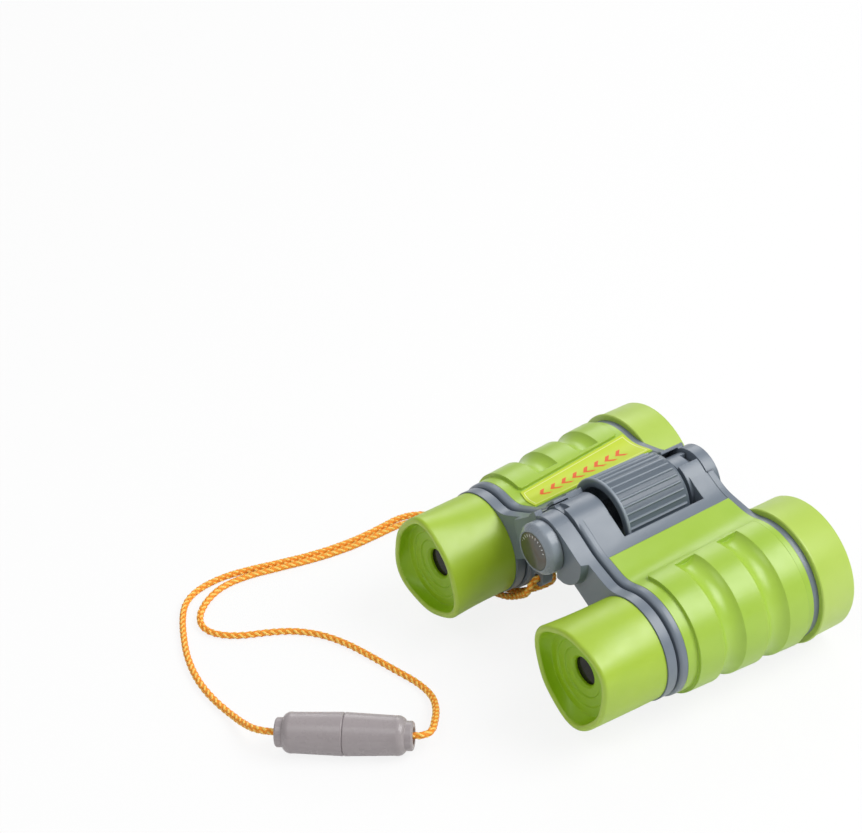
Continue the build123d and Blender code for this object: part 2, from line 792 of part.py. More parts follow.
with BuildPart() as end_cap:
    rod(hinge_plane(cap_rear - cap_length), cap_radius, cap_length)
    chamfer(faces().sort_by(Axis.Y)[0].edges(), cap_chamfer)
    fillet(edges().filter_by(GeomType.CIRCLE).sort_by(SortBy.RADIUS)[-2:].sort_by(Axis.Y)[0], 1.2)
    rod(hinge_plane(cap_rear - cap_length), disc_radius, disc_thickness, Mode.SUBTRACT)
    rod(hinge_plane(spindle_front), spindle_radius, cap_length, Mode.SUBTRACT)
end_cap.part.label = "end_cap"
export_step(end_cap.part, "parts/end_cap.step")

with BuildPart() as cap_disc:
    rod(hinge_plane(cap_rear - cap_length), disc_radius, disc_thickness)
    fillet(faces().sort_by(Axis.Y)[0].edges(), 0.3)
cap_disc.part.label = "cap_disc"
export_step(cap_disc.part, "parts/cap_disc.step")
# ---- clasp --------------------------------------------------------------------------
clasp_heading = (math.cos(math.radians(clasp_turn)), math.sin(math.radians(clasp_turn)), 0)
clasp_side = (math.sin(math.radians(clasp_turn)), -math.cos(math.radians(clasp_turn)), 0)
clasp_axis = Axis(on_clasp(0), clasp_heading)
clasp_plane = Plane(origin=on_clasp(0), x_dir=clasp_heading, z_dir=clasp_side)
clasp_seam = clasp_length / 2


def clasp_half(start, away, shoulder):
    """Outline of half a clasp: its end is at start, and away is 1 or -1 towards the seam."""
    with BuildSketch(clasp_plane) as drawn:
        with BuildLine():
            Polyline(
                (start, 0),
                (start, clasp_tail - 0.4),
                (start + 0.4 * away, clasp_tail),
                (start + 2.2 * away, clasp_tail),
                (start + 2.2 * away, clasp_tail + 0.3),
            )
            ThreePointArc(
                (start + 2.2 * away, clasp_tail + 0.3),
                (start + 3.0 * away, clasp_tail + 0.76 * (shoulder - clasp_tail)),
                (start + 5.0 * away, shoulder),
            )
            Polyline(
                (start + 5.0 * away, shoulder),
                (clasp_seam - 0.25 * away, clasp_radius),
                (clasp_seam, clasp_radius - 0.25),
                (clasp_seam, 0),
                (start, 0),
            )
        make_face()
    revolve(drawn.sketch, axis=clasp_axis)


def clasp_bore(start, radius, length, mode=Mode.SUBTRACT):
    """Round bore or bar on the clasp's axis."""
    with BuildSketch(Plane(origin=on_clasp(start), z_dir=clasp_heading)) as drawn:
        Circle(radius)
    extrude(drawn.sketch, amount=length, mode=mode)


with BuildPart() as clasp_socket:
    clasp_half(0, 1, 0.94 * clasp_radius)
    clasp_bore(0, clasp_mouth, clasp_hole_depth)
    clasp_bore(clasp_seam - tongue_length - 0.3, tongue_radius + 0.05, tongue_length + 1)
clasp_socket.part.label = "clasp_socket"
export_step(clasp_socket.part, "parts/clasp_socket.step")

with BuildPart() as clasp_plug:
    clasp_half(clasp_length, -1, 0.91 * clasp_radius)
    clasp_bore(clasp_seam - tongue_length, tongue_radius, tongue_length, Mode.ADD)
    clasp_bore(clasp_length, clasp_mouth, -clasp_hole_depth)
clasp_plug.part.label = "clasp_plug"
export_step(clasp_plug.part, "parts/clasp_plug.step")

# ---- neck cord: one cord through the lug, drawn as its two branches -----------------
cord_z = cord_diameter / 2 + 0.05
lug_centre = (lug_place[0], lug_y, lug_place[1])
route_a = (
    lug_centre,
    (lug_centre[0], lug_centre[1] + 3.5, lug_centre[2]),
    (lug_centre[0] - 0.8, lug_centre[1] + 4.85, lug_centre[2] - 4.4),
    (lug_centre[0] - 5.7, lug_centre[1] + 2.15, lug_centre[2] - 8.3),
    (lug_centre[0] - 11.3, lug_centre[1] + 0.3, 4.4),
    (-31.6, -16.2, 2.3),
    (-38.5, -16.6, 1.3),
    (-48.0, -16.6, cord_z + 0.02),
    (-60.0, -13.4, cord_z),
    (-71.0, -8.2, cord_z),
    (-80.0, -8.4, cord_z),
    (-84.6, -16.0, cord_z),
    (-83.5, -26.0, cord_z),
    (-83.2, -36.0, cord_z),
    (-84.8, -48.0, cord_z),
    (-88.2, -59.5, cord_z),
    (-91.7, -70.0, cord_z),
    (-93.0, -78.5, cord_z),
    (-91.9, -86.3, cord_z),
    (-88.6, -92.0, cord_z),
    (-82.6, -96.6, cord_z),
    (-75.0, -100.8, cord_z),
    (-65.7, -105.3, cord_z),
    (-54.9, -108.7, cord_z),
    (-44.1, -110.1, cord_z),
    (-34.6, -110.0, 1.4),
    (-27.0, -110.4, 2.9),
    (-20.8, -110.7, 4.9),
    on_clasp(-2.0),
    on_clasp(clasp_hole_depth),
)
route_b = (
    lug_centre,
    (lug_centre[0], lug_centre[1] - 3.5, lug_centre[2]),
    (lug_centre[0] - 0.8, lug_centre[1] - 4.85, lug_centre[2] - 4.4),
    (lug_centre[0] - 5.7, lug_centre[1] - 3.7, lug_centre[2] - 8.3),
    (lug_centre[0] - 11.3, lug_centre[1] - 4.0, 4.4),
    (-31.6, -19.5, 2.3),
    (-38.5, -19.9, 1.3),
    (-48.0, -20.2, cord_z),
    (-59.5, -16.9, cord_z),
    (-70.0, -11.7, cord_z),
    (-77.6, -12.0, cord_z),
    (-81.2, -18.0, cord_z),
    (-80.9, -27.0, cord_z),
    (-80.6, -37.0, cord_z),
    (-82.3, -48.6, cord_z),
    (-85.6, -60.3, cord_z),
    (-88.6, -70.6, cord_z),
    (-88.8, -79.0, cord_z),
    (-85.6, -86.4, cord_z),
    (-80.4, -92.2, cord_z),
    (-74.6, -94.6, cord_z),
    (-68.8, -92.9, cord_z),
    (-64.0, -87.9, cord_z),
    (-60.4, -80.9, cord_z),
    (-56.0, -74.5, cord_z),
    (-49.5, -69.5, cord_z),
    (-41.0, -66.2, cord_z),
    (-31.0, -64.3, cord_z),
    (-21.4, -62.8, cord_z),
    (-12.6, -61.2, cord_z),
    (-4.6, -61.9, 1.5),
    (2.6, -65.7, 2.9),
    (8.9, -70.9, 4.7),
    (12.5, -74.3, 5.6),
    on_clasp(clasp_length + 2.0),
    on_clasp(clasp_length - clasp_hole_depth),
)

with BuildPart() as neck_cord_a:
    with BuildLine() as path_a:
        FilletPolyline(*route_a, radius=cord_radii(route_a))
    with BuildSketch(Plane(origin=path_a.line @ 0, z_dir=path_a.line % 0)):
        Circle(cord_diameter / 2)
    sweep()
neck_cord_a.part.label = "neck_cord_a"
export_step(neck_cord_a.part, "parts/neck_cord_a.step")

with BuildPart() as neck_cord_b:
    with BuildLine() as path_b:
        FilletPolyline(*route_b, radius=cord_radii(route_b))
    with BuildSketch(Plane(origin=path_b.line @ 0, z_dir=path_b.line % 0)):
        Circle(cord_diameter / 2)
    sweep()
neck_cord_b.part.label = "neck_cord_b"
export_step(neck_cord_b.part, "parts/neck_cord_b.step")

section_area = math.pi * cord_diameter**2 / 4
for cord, path, route in (
    (neck_cord_a, path_a, route_a),
    (neck_cord_b, path_b, route_b),
):
    print(cord.part.label, "radii", [round(radius, 1) for radius in cord_radii(route)])
    cord_length = sum(run.length for run in path.edges())
    print("length", round(cord_length, 1), "section times length over volume",
          round(section_area * cord_length / cord.part.volume, 4))
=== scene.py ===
# %% [markdown]
# # Folding binoculars with a neck cord
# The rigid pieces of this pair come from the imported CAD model: two barrel shells on a
# hinge, their rubber armour, hoods, eyecups, bridge arms and the focus wheel. The cells
# below give them soft moulded edges, plastic and rubber finishes, a braided cord and
# light. Everything is in metres, X across the pair, Y along the barrels, Z up.

# %% Load the frame
import math

import bmesh
import bpy
from mathutils import Matrix, Vector


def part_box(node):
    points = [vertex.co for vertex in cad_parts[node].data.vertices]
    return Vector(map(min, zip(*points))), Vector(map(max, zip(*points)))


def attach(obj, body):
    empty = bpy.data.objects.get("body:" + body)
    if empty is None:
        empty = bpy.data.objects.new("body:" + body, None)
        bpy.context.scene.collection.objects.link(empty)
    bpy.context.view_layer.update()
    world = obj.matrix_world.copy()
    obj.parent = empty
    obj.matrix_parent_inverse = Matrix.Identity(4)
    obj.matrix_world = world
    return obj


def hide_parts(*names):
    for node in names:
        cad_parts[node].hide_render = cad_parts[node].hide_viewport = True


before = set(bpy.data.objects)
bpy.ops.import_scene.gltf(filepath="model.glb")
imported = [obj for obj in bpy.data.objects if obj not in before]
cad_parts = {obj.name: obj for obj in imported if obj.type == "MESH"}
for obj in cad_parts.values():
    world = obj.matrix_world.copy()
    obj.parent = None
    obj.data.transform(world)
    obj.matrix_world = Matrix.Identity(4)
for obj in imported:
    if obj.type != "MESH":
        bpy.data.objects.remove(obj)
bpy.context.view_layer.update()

# %% [markdown]
# ## The camera
# The pair is seen from the right, from the eyepiece end, and from well above, with a
# long lens, so that parallel edges stay nearly parallel. A camera is easiest to set by
# three angles, a distance and the point that it looks at.

# %% Camera
camera_azimuth = math.radians(56.16)
camera_elevation = math.radians(31.5)
camera_roll = math.radians(-3.76)
camera_distance = 0.74591
camera_aim = Vector((-0.05041, -0.02565, 0.05711))
camera_lens_mm = 108.58
camera_sensor_mm = 36
nearest_seen, furthest_seen = 0.01, 20

back = Vector(
    (
        math.sin(camera_azimuth) * math.cos(camera_elevation),
        -math.cos(camera_azimuth) * math.cos(camera_elevation),
        math.sin(camera_elevation),
    )
)
camera = bpy.data.objects.new("camera", bpy.data.cameras.new("camera"))
bpy.context.scene.collection.objects.link(camera)
camera.data.sensor_width = camera_sensor_mm
camera.data.lens = camera_lens_mm
camera.data.clip_start = nearest_seen
camera.data.clip_end = furthest_seen
level_right = Vector((math.cos(camera_azimuth), math.sin(camera_azimuth), 0))
level_up = back.cross(level_right)
right = math.cos(camera_roll) * level_right + math.sin(camera_roll) * level_up
up = math.cos(camera_roll) * level_up - math.sin(camera_roll) * level_right
place = camera_aim + camera_distance * back
camera.matrix_world = Matrix(
    (
        (right.x, up.x, back.x, place.x),
        (right.y, up.y, back.y, place.y),
        (right.z, up.z, back.z, place.z),
        (0, 0, 0, 1),
    )
)
bpy.context.scene.camera = camera
print("camera at", [round(v, 3) for v in place])

# %% [markdown]
# ## Finishes that several pieces share
# Moulded plastic and rubber are never one flat colour: the pigment clouds a little, the
# tool leaves a fine grain, and handling polishes it unevenly. One node group makes these
# three effects from the piece's own coordinates, so they stay on it when it moves.


# %% A node group for moulded surfaces
def new_group(name, inputs, outputs):
    """Node group with named inputs (kind, default) and outputs (kind)."""
    group = bpy.data.node_groups.new(name, "ShaderNodeTree")
    for socket, kind, default in inputs:
        made = group.interface.new_socket(socket, in_out="INPUT", socket_type=kind)
        if default is not None:
            made.default_value = default
    for socket, kind in outputs:
        group.interface.new_socket(socket, in_out="OUTPUT", socket_type=kind)
    return group, group.nodes.new("NodeGroupInput"), group.nodes.new("NodeGroupOutput")


def feed(tree, value, socket):
    """Gives a socket a constant, or a link from another socket."""
    if isinstance(value, (int, float, tuple, list)):
        socket.default_value = value
    else:
        tree.links.new(value, socket)


def math_node(tree, operation, first, second=None, clamp=False):
    """Math node; each operand is a socket or a number."""
    node = tree.nodes.new("ShaderNodeMath")
    node.operation = operation
    node.use_clamp = clamp
    feed(tree, first, node.inputs[0])
    if second is not None:
        feed(tree, second, node.inputs[1])
    return node.outputs[0]


def mix_colour(tree, share, first, second):
    """Colour mix; each colour is a socket or an RGBA value."""
    node = tree.nodes.new("ShaderNodeMix")
    node.data_type = "RGBA"
    for name, value in (("Factor", share), ("A", first), ("B", second)):
        feed(tree, value, [s for s in node.inputs if s.name == name and s.enabled][-1])
    return [s for s in node.outputs if s.name == "Result" and s.enabled][0]


def noise(tree, vector, scale, detail=2.0, roughness=0.5):
    """Noise texture on the given coordinates."""
    node = tree.nodes.new("ShaderNodeTexNoise")
    node.inputs["Scale"].default_value = scale
    node.inputs["Detail"].default_value = detail
    node.inputs["Roughness"].default_value = roughness
    tree.links.new(vector, node.inputs["Vector"])
    return node.outputs["Fac"]


moulded, moulded_in, moulded_out = new_group(
    "moulded_surface",
    (
        ("Coordinates", "NodeSocketVector", None),
        ("Colour", "NodeSocketColor", (0.5, 0.5, 0.5, 1)),
        ("Deep Colour", "NodeSocketColor", (0.4, 0.4, 0.4, 1)),
        ("Roughness", "NodeSocketFloat", 0.4),
        ("Grain", "NodeSocketFloat", 0.5),
    ),
    (
        ("Colour", "NodeSocketColor"),
        ("Roughness", "NodeSocketFloat"),
        ("Height", "NodeSocketFloat"),
    ),
)
cloud_scale, cloud_start, cloud_contrast = 90, 0.42, 1.6
smear_scale, smear_strength = 260, 0.22
grain_scale = 2600
cloud = noise(moulded, moulded_in.outputs["Coordinates"], cloud_scale, 3)
cloud_share = math_node(
    moulded,
    "MULTIPLY",
    math_node(moulded, "SUBTRACT", cloud, cloud_start),
    cloud_contrast,
    clamp=True,
)
tint = mix_colour(
    moulded, cloud_share, moulded_in.outputs["Colour"], moulded_in.outputs["Deep Colour"]
)
moulded.links.new(tint, moulded_out.inputs["Colour"])
smear = noise(moulded, moulded_in.outputs["Coordinates"], smear_scale, 4, 0.6)
smear_amount = math_node(
    moulded, "MULTIPLY", math_node(moulded, "SUBTRACT", smear, 0.5), smear_strength
)
moulded.links.new(
    math_node(moulded, "ADD", moulded_in.outputs["Roughness"], smear_amount, clamp=True),
    moulded_out.inputs["Roughness"],
)
grain = noise(moulded, moulded_in.outputs["Coordinates"], grain_scale, 2)
moulded.links.new(
    math_node(moulded, "MULTIPLY", grain, moulded_in.outputs["Grain"]),
    moulded_out.inputs["Height"],
)
print("node group", moulded.name, "outputs", [s.name for s in moulded_out.inputs[:-1]])


# %% A material maker for plastic and rubber
def linear(value):
    """One sRGB channel, 0 to 255, as the linear value that shaders use."""
    share = value / 255
    return share / 12.92 if share <= 0.04045 else ((share + 0.055) / 1.055) ** 2.4


def colour(red, green, blue):
    """An opaque shader colour from three sRGB channels."""
    return (linear(red), linear(green), linear(blue), 1.0)


def empty_material(name, base, roughness):
    """Material with a Principled shader, and the two nodes every finish starts from."""
    made = bpy.data.materials.new(name)
    made.use_nodes = True
    made.diffuse_color = base
    shader = made.node_tree.nodes["Principled BSDF"]
    shader.inputs["Base Color"].default_value = base
    shader.inputs["Roughness"].default_value = roughness
    where = made.node_tree.nodes.new("ShaderNodeTexCoord").outputs["Object"]
    return made, made.node_tree, shader, where


def moulded_material(name, base, deep, roughness, grain, gloss=0.5):
    """Plastic or rubber straight from the mould, with slightly rounded edges."""
    made, tree, shader, where = empty_material(name, base, roughness)
    edge_radius = 0.00035
    grain_height, grain_strength = 0.00002, 0.6
    group = tree.nodes.new("ShaderNodeGroup")
    group.node_tree = moulded
    tree.links.new(where, group.inputs["Coordinates"])
    group.inputs["Colour"].default_value = base
    group.inputs["Deep Colour"].default_value = deep
    group.inputs["Roughness"].default_value = roughness
    group.inputs["Grain"].default_value = grain
    tree.links.new(group.outputs["Colour"], shader.inputs["Base Color"])
    tree.links.new(group.outputs["Roughness"], shader.inputs["Roughness"])
    relief = tree.nodes.new("ShaderNodeBump")
    relief.inputs["Distance"].default_value = grain_height
    relief.inputs["Strength"].default_value = grain_strength
    edge_round = tree.nodes.new("ShaderNodeBevel")
    edge_round.samples = 6
    edge_round.inputs["Radius"].default_value = edge_radius
    tree.links.new(edge_round.outputs["Normal"], relief.inputs["Normal"])
    tree.links.new(group.outputs["Height"], relief.inputs["Height"])
    tree.links.new(relief.outputs["Normal"], shader.inputs["Normal"])
    shader.inputs["Specular IOR Level"].default_value = gloss
    return made


armour_rubber = moulded_material(
    "armour_rubber", colour(162, 196, 65), colour(153, 190, 55), 0.34, 0.5, 0.65
)
cup_rubber = moulded_material(
    "cup_rubber", colour(162, 194, 28), colour(154, 188, 24), 0.43, 0.35, 1.0
)
# Painted shade: a darker, deeper green copy of the cup rubber for the recess of the bowls.
shaded_bowl_rubber = moulded_material(
    "shaded_bowl_rubber", colour(146, 187, 18), colour(138, 181, 15), 0.42, 0.35, 0.45
)
hood_plastic = moulded_material(
    "hood_plastic", colour(173, 201, 74), colour(165, 195, 64), 0.40, 0.35, 0.95
)
shell_plastic = moulded_material(
    "shell_plastic", colour(114, 124, 136), colour(108, 118, 130), 0.34, 0.5, 0.65
)
wheel_plastic = moulded_material(
    "wheel_plastic", colour(93, 104, 115), colour(87, 97, 108), 0.34, 0.4
)
cap_plastic = moulded_material(
    "cap_plastic", colour(138, 147, 157), colour(132, 141, 151), 0.26, 0.3
)
clasp_plastic = moulded_material(
    "clasp_plastic", colour(163, 155, 157), colour(157, 149, 150), 0.28, 0.3
)
black_plastic = moulded_material(
    "black_plastic", colour(26, 26, 28), colour(22, 22, 24), 0.55, 0.6
)
print("moulded finishes", [m.name for m in bpy.data.materials])

# %% [markdown]
# ## Metal, glass and the glossy disc
# The hinge sleeve and spindle are turned steel, seen only in the hollow of the wheel. A
# lens is clear, but with a dark tube behind it, it shows as a near-black disc with a
# coloured coating reflection. The small ocular lenses lie deep in the cups, so a dark
# glossy finish stands for glass and tube together: its near-black is partly the tube's own
# black and partly painted shade of the deep barrel.

# %% Steel
turned_steel, steel_tree, steel_shader, steel_where = empty_material(
    "turned_steel", colour(168, 170, 174), 0.32
)
steel_shader.inputs["Metallic"].default_value = 1.0
turning_scale = 900
crest_roughness, turning_depth = 0.26, 0.12
turning = steel_tree.nodes.new("ShaderNodeTexWave")
turning.bands_direction = "Y"
turning.inputs["Scale"].default_value = turning_scale
steel_tree.links.new(steel_where, turning.inputs["Vector"])
turned_marks = math_node(steel_tree, "MULTIPLY", turning.outputs["Fac"], turning_depth)
steel_tree.links.new(
    math_node(steel_tree, "ADD", turned_marks, crest_roughness),
    steel_shader.inputs["Roughness"],
)
print("steel ready")

# %% Lens glass
lens_glass, lens_tree, lens_shader, lens_where = empty_material(
    "lens_glass", colour(235, 238, 240), 0.03
)
lens_shader.inputs["Transmission Weight"].default_value = 1.0
crown_glass_ior = 1.5
lens_shader.inputs["IOR"].default_value = crown_glass_ior
lens_shader.inputs["Specular Tint"].default_value = colour(190, 160, 235)
coating = lens_tree.nodes.new("ShaderNodeLayerWeight")
coating.inputs["Blend"].default_value = 0.35
lens_tree.links.new(
    mix_colour(
        lens_tree, coating.outputs["Facing"], colour(238, 242, 240), colour(196, 178, 226)
    ),
    lens_shader.inputs["Base Color"],
)
breath_scale, breath_strength = 160, 0.06
breath = noise(lens_tree, lens_where, breath_scale, 4, 0.6)
lens_tree.links.new(
    math_node(lens_tree, "MULTIPLY", breath, breath_strength),
    lens_shader.inputs["Roughness"],
)

# Painted shade: an opaque near-black lens, standing for the black tube and the shade deep
# inside the barrel.
eye_glass, eye_tree, eye_shader, eye_where = empty_material(
    "eye_glass", colour(26, 26, 18), 0.08
)
eye_shader.inputs["Specular IOR Level"].default_value = 0.12
eye_depth = noise(eye_tree, eye_where, 300, 2)
eye_tree.links.new(
    mix_colour(eye_tree, eye_depth, colour(20, 20, 14), colour(38, 38, 24)),
    eye_shader.inputs["Base Color"],
)
print("glass ready")

# %% [markdown]
# ## Softer edges for the moulded pieces
# A CAD solid has knife edges, and its imported mesh is loose triangles. A moulded piece has
# small radii everywhere, which catch a thin line of light. So each visible piece gets a
# stand-in: a copy whose doubles are merged, with a narrow bevel on its sharp edges. The
# last word of each row below names a material slot, which the code doesn't use.


# %% A stand-in with soft edges
def shade_smooth(shape, sharp_angle):
    """Smooth shading all over, except across edges that turn by more than an angle."""
    for face in shape.faces:
        face.smooth = True
    for edge in shape.edges:
        edge.smooth = edge.calc_face_angle(math.pi) < sharp_angle


def softened(node, body, material, width):
    """Merged and bevelled copy of a CAD node, which replaces it on its body."""
    sharp_angle = math.radians(28)
    same_point, no_length = 0.000004, 0.000002
    flat_enough = math.radians(0.4)
    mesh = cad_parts[node].data.copy()
    mesh.name = node + "_soft"
    shape = bmesh.new()
    shape.from_mesh(mesh)
    bmesh.ops.remove_doubles(shape, verts=shape.verts, dist=same_point)
    bmesh.ops.dissolve_degenerate(shape, dist=no_length, edges=shape.edges)
    bmesh.ops.dissolve_limit(
        shape, angle_limit=flat_enough, verts=shape.verts, edges=shape.edges
    )
    shade_smooth(shape, sharp_angle)
    shape.to_mesh(mesh)
    shape.free()
    mesh.materials.clear()
    mesh.materials.append(material)
    made = bpy.data.objects.new(node + "_soft", mesh)
    bpy.context.scene.collection.objects.link(made)
    if width:
        edge = made.modifiers.new("edge_radius", "BEVEL")
        edge.width = width
        edge.segments = 2
        edge.limit_method = "ANGLE"
        edge.angle_limit = sharp_angle
        edge.harden_normals = True
    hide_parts(node)
    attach(made, body)
    return made


soft_pieces = {}
for node, body, material, width, slot in (
    ("left_body_shell", "left_barrel", shell_plastic, 0.00025, "shell_grey"),
    ("right_body_shell", "right_barrel", shell_plastic, 0.00025, "shell_grey"),
    ("left_armour", "left_barrel", armour_rubber, 0.0003, "armour_green"),
    ("right_armour", "right_barrel", armour_rubber, 0.0003, "armour_green"),
    ("left_objective_hood", "left_barrel", hood_plastic, 0.0, "hood_green"),
    ("right_objective_hood", "right_barrel", hood_plastic, 0.0, "hood_green"),
    ("left_bridge_arm", "left_eyepiece", shell_plastic, 0.0003, "arm_grey"),
    ("right_bridge_arm", "right_eyepiece", shell_plastic, 0.0003, "arm_grey"),
    ("left_eyecup", "left_eyepiece", cup_rubber, 0.00015, "cup_green"),
    ("right_eyecup", "right_eyepiece", cup_rubber, 0.00015, "cup_green"),
    ("end_cap", "left_eyepiece", cap_plastic, 0.0, "arm_grey"),
    ("rear_hinge_pin", "left_barrel", shell_plastic, 0.0, "pin_grey"),
    ("clasp_socket", "left_barrel", clasp_plastic, 0.00015, "clasp_grey"),
    ("clasp_plug", "left_barrel", clasp_plastic, 0.00015, "clasp_grey"),
):
    soft_pieces[node] = softened(node, body, material, width)
    print(node, len(soft_pieces[node].data.polygons), "faces before its bevel")

# %% [markdown]
# ## The bowls of the eyecups
# Each cup is one rubber moulding. Its stepped bowl gets a darker, deeper green, which is
# painted shade in the recess, put on as a second material on some of its faces. A face is
# in the bowl when it lies behind the rim and either looks in towards the eyepiece's axis
# or lies near that axis, which is read from the lens behind the eye hole.


# %% Painted shade inside the cups
def finish_bowl(cup, lens, material):
    """Gives the faces inside a cup's rim the bowl's painted shade, and counts them."""
    rim_depth, bowl_depth = 0.0007, 0.0066
    floor_radius = 0.0126
    least_inward = -0.1
    corners = [vertex.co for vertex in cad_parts[lens].data.vertices]
    axis_x = (min(co.x for co in corners) + max(co.x for co in corners)) / 2
    axis_z = (min(co.z for co in corners) + max(co.z for co in corners)) / 2
    mouth_y = min(vertex.co.y for vertex in cup.data.vertices)
    cup.data.materials.append(material)
    inside = 0
    for face in cup.data.polygons:
        outward = Vector((face.center.x - axis_x, 0, face.center.z - axis_z))
        inward_facing = face.normal.dot(outward.normalized()) < least_inward
        deep_enough = rim_depth < face.center.y - mouth_y < bowl_depth
        if deep_enough and (inward_facing or outward.length < floor_radius):
            face.material_index = 1
            inside += 1
    return inside


for side in ("left", "right"):
    found = finish_bowl(soft_pieces[side + "_eyecup"], side + "_ocular_lens", shaded_bowl_rubber)
    print(side, "bowl has", found, "faces")

# %% [markdown]
# ## The ribbed focus wheel
# The wheel is a moulded drum with a thin flange in front, thirty-four slim ribs with
# rounded backs, and a plain collar behind. It is turned from one profile with spin, and
# then each point on the ribbed stretch is pushed out by how near it is to a rib's middle.
# That gives true half-round ribs that run out in rounded tips. A painted highlight makes
# the colour paler with height above the valleys between the ribs.

# %% Wheel profile
wheel_low, wheel_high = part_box("focus_wheel")
wheel_middle = (wheel_low + wheel_high) / 2
wheel_radius = (wheel_high.z - wheel_low.z) / 2
wheel_front, wheel_rear = wheel_low.y, wheel_high.y
wheel_ribs = 34
steps_per_rib = 20
rib_height = 0.0006
rib_half_width = 0.00034
rib_start = wheel_front + 0.0009
rib_end = wheel_rear - 0.0012
rib_run_out = 0.0007
front_valley = wheel_radius - 0.0007
rear_valley = front_valley - 0.00025
hollow_radius = 0.0096
hollow_floor = wheel_front + 0.0056
front_bore, rear_bore = 0.0034, 0.0026
wheel_profile = (
    (front_bore, hollow_floor),
    (hollow_radius - 0.0004, hollow_floor),
    (hollow_radius, hollow_floor - 0.0004),
    (hollow_radius, wheel_front + 0.0003),
    (hollow_radius + 0.0003, wheel_front),
    (wheel_radius - 0.00035, wheel_front),
    (wheel_radius - 0.0001, wheel_front + 0.0001),
    (wheel_radius, wheel_front + 0.00035),
    (wheel_radius, rib_start - 0.0002),
    (wheel_radius - 0.0001, rib_start),
    (front_valley, rib_start + 0.0001),
    (rear_valley, rib_end - rib_run_out),
    (rear_valley, rib_end - 0.0004),
    (rear_valley, rib_end - 0.00015),
    (rear_valley, rib_end),
    (rear_valley, wheel_rear - 0.0006),
    (rear_valley - 0.0001, wheel_rear - 0.0003),
    (rear_valley - 0.0003, wheel_rear - 0.0001),
    (rear_valley - 0.0006, wheel_rear),
    (rear_bore, wheel_rear),
)
print("wheel radius", round(wheel_radius * 1000, 2), "mm, ribs", wheel_ribs)


# %% Painted highlight on the rib crests
def around_axis(tree, where, centre):
    """A point's X and Z from an axis along Y, its distance from it, and its own Y."""
    parts = tree.nodes.new("ShaderNodeSeparateXYZ")
    tree.links.new(where, parts.inputs[0])
    aside_x = math_node(tree, "SUBTRACT", parts.outputs["X"], centre.x)
    aside_z = math_node(tree, "SUBTRACT", parts.outputs["Z"], centre.z)
    squares = math_node(
        tree,
        "ADD",
        math_node(tree, "MULTIPLY", aside_x, aside_x),
        math_node(tree, "MULTIPLY", aside_z, aside_z),
    )
    return aside_x, aside_z, math_node(tree, "SQRT", squares), parts.outputs["Y"]


wheel_tree = wheel_plastic.node_tree
wheel_shader = wheel_tree.nodes["Principled BSDF"]
wheel_where = wheel_tree.nodes.new("ShaderNodeTexCoord").outputs["Object"]
_, _, wheel_reach, wheel_y = around_axis(wheel_tree, wheel_where, wheel_middle)
valley_slope = (front_valley - rear_valley) / (rib_end - rib_start)
# Painted highlight: the rib crests are mixed toward a paler grey, more the higher they
# stand.
painted_highlight_strength = 0.75
along_wheel = math_node(wheel_tree, "SUBTRACT", wheel_y, rib_start)
valley_reach = math_node(
    wheel_tree,
    "SUBTRACT",
    front_valley,
    math_node(wheel_tree, "MULTIPLY", along_wheel, valley_slope),
)
height_share = math_node(
    wheel_tree,
    "DIVIDE",
    math_node(wheel_tree, "SUBTRACT", wheel_reach, valley_reach),
    rib_height,
    clamp=True,
)
painted_highlight_share = math_node(wheel_tree, "MULTIPLY", height_share, painted_highlight_strength)
moulded_tint = wheel_shader.inputs["Base Color"].links[0].from_socket
wheel_tree.links.new(
    mix_colour(wheel_tree, painted_highlight_share, moulded_tint, colour(150, 160, 170)),
    wheel_shader.inputs["Base Color"],
)
print("crest mask on", wheel_plastic.name)


# %% Spin the profile and raise the ribs
def rib_lift(spot):
    """How far a point of the drum stands out, from its place round and along it."""
    front_margin, rear_margin = 0.00005, 0.00002
    if not rib_start + front_margin < spot.y < rib_end - rear_margin:
        return 0.0
    turn = math.atan2(spot.z, spot.x) * wheel_ribs / (2 * math.pi)
    aside = abs(turn - round(turn)) * 2 * math.pi * wheel_radius / wheel_ribs
    if aside >= rib_half_width:
        return 0.0
    crown = math.sqrt(1 - (aside / rib_half_width) ** 2)
    run_out = min(1.0, (rib_end - spot.y) / rib_run_out)
    return rib_height * crown * math.sqrt(1 - (1 - run_out) ** 2)


drum = bmesh.new()
chain = [drum.verts.new((reach, along, 0)) for reach, along in wheel_profile]
edges = [drum.edges.new(pair) for pair in zip(chain, chain[1:])]
bmesh.ops.spin(
    drum,
    geom=chain + edges,
    cent=(0, 0, 0),
    axis=(0, 1, 0),
    angle=2 * math.pi,
    steps=wheel_ribs * steps_per_rib,
    use_merge=True,
    use_duplicate=False,
)
bmesh.ops.recalc_face_normals(drum, faces=drum.faces)
for vertex in drum.verts:
    lift = rib_lift(vertex.co)
    if lift:
        reach = math.hypot(vertex.co.x, vertex.co.z)
        vertex.co.x *= (reach + lift) / reach
        vertex.co.z *= (reach + lift) / reach
bmesh.ops.translate(drum, verts=drum.verts, vec=(wheel_middle.x, 0, wheel_middle.z))
shade_smooth(drum, math.radians(50))
wheel_mesh = bpy.data.meshes.new("focus_wheel_ribbed")
drum.to_mesh(wheel_mesh)
drum.free()
wheel_mesh.materials.append(wheel_plastic)
ribbed_wheel = bpy.data.objects.new("focus_wheel_ribbed", wheel_mesh)
bpy.context.scene.collection.objects.link(ribbed_wheel)
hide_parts("focus_wheel")
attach(ribbed_wheel, "focus_wheel")
print("ribbed wheel", len(wheel_mesh.polygons), "faces")

# %% [markdown]
# ## The pieces that keep their CAD shape
# The lenses, their retaining rings, the eyepiece tubes and the steel of the hinge are
# plain turned shapes, mostly out of sight. They need no stand-in, only a finish.


# %% Finishes for the plain pieces
def dress(material, *nodes):
    """Puts a material on CAD nodes, in place of the one they came with."""
    for node in nodes:
        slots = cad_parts[node].data.materials
        slots.clear()
        slots.append(material)


